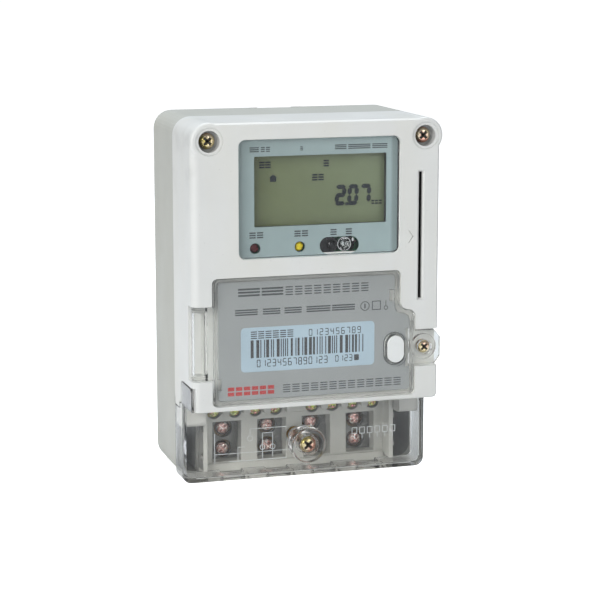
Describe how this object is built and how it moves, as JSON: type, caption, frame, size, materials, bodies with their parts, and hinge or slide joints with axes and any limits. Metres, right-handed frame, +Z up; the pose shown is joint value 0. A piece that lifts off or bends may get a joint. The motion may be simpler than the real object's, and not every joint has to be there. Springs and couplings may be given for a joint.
{
  "type": "prepaid electricity meter",
  "caption": "Wall-mounted prepayment electricity meter with a display window, card slot, hinged nameplate cover and a clear cover over its cable terminals.",
  "frame": {"origin": "middle of the base, where the case's outline meets the surface it stands on", "axes": "+X to the right as the meter is read, +Y back towards the wall, +Z up"},
  "size_m": [0.112, 0.071, 0.16],
  "materials": {
    "case_white": "fine matt grain",
    "case_grey": "fine matt grain",
    "clear_plastic": "clear moulded",
    "panel_print": "printed film",
    "lcd": "reflective display",
    "light_guide": "milky",
    "white_plastic": "semi-gloss",
    "black_plastic": "moulded",
    "red_lamp": "tinted lamp",
    "yellow_lamp": "tinted lamp",
    "dark_lamp": "dark tinted lamp",
    "clear_lamp": "clear lamp",
    "circuit_board": "solder resist",
    "capacitor_sleeve": "shrink sleeve",
    "battery_sleeve": "shrink sleeve",
    "coil_tape": "wound tape",
    "seal_rubber": "soft",
    "block_grey": "moulded",
    "nameplate_grey": "satin printed",
    "label_blue": "printed paper",
    "passivated_steel": "yellow passivated",
    "copper_screw": "copper tinted",
    "steel": "bright",
    "galvanised_steel": "zinc coated",
    "brass": "machined",
    "copper": "rolled copper",
    "contact_gold": "gold flash"
  },
  "bodies": {
    "case": {"rear_case": "case_grey", "case_seal": "seal_rubber", "front_cover": "case_white", "window_lens": "clear_plastic", "display_mask": "panel_print", "lcd_glass": "lcd", "lcd_backlight": "light_guide", "lcd_frame": "black_plastic", "pulse_led": "red_lamp", "relay_led": "yellow_lamp", "ir_receiver": "dark_lamp", "ir_emitter": "clear_lamp", "ir_board": "circuit_board", "main_board": "circuit_board", "board_screws": "steel", "key_switches": "black_plastic", "card_reader_body": "black_plastic", "card_reader_lid": "black_plastic", "card_contacts": "contact_gold", "case_screws": "passivated_steel", "cover_insert": "brass", "latching_relay": "black_plastic", "busbars": "copper", "neutral_link": "copper", "current_transformer": "coil_tape", "capacitors": "capacitor_sleeve", "backup_battery": "battery_sleeve", "radio_module": "black_plastic", "terminal_block": "block_grey", "main_terminals": "brass", "main_terminal_screws": "copper_screw", "aux_terminals": "brass", "aux_terminal_screws": "passivated_steel", "aux_leads": "brass", "block_screws": "steel", "terminal_insert": "brass"},
    "nameplate_cover": {"nameplate_cover": "clear_plastic", "nameplate": "nameplate_grey", "barcode_label": "label_blue"},
    "nameplate_screw": {"nameplate_screw": "passivated_steel"},
    "display_button": {"display_button": "white_plastic"},
    "program_button": {"program_button": "white_plastic"},
    "terminal_cover": {"terminal_cover": "clear_plastic"},
    "terminal_screw": {"terminal_screw": "passivated_steel", "screw_clip": "steel"},
    "hanger": {"hanger_plate": "galvanised_steel"}
  },
  "joints": [
    {"name": "nameplate_cover_hinge", "type": "hinge", "parent": "case", "child": "nameplate_cover", "pos_m": [-0.0522, -0.0312, 0.066], "axis": [0, 0, -1], "range_deg": [0, 120]},
    {"name": "nameplate_screw_slide", "type": "slide", "parent": "nameplate_cover", "child": "nameplate_screw", "axis": [0, -1, 0], "range_m": [0, 0.0042]},
    {"name": "display_button_press", "type": "slide", "parent": "case", "child": "display_button", "axis": [0, 1, 0], "range_m": [0, 0.0012], "stiffness_N_per_m": 600, "springref_m": -0.001},
    {"name": "program_button_press", "type": "slide", "parent": "case", "child": "program_button", "axis": [0, 1, 0], "range_m": [0, 0.0009], "stiffness_N_per_m": 600, "springref_m": -0.001},
    {"name": "terminal_cover_slide", "type": "slide", "parent": "case", "child": "terminal_cover", "axis": [0, -1, 0], "range_m": [0, 0.06]},
    {"name": "terminal_screw_slide", "type": "slide", "parent": "terminal_cover", "child": "terminal_screw", "axis": [0, -1, 0], "range_m": [0, 0.009]},
    {"name": "hanger_slide", "type": "slide", "parent": "case", "child": "hanger", "axis": [0, 0, 1], "range_m": [0, 0.014]}
  ]
}
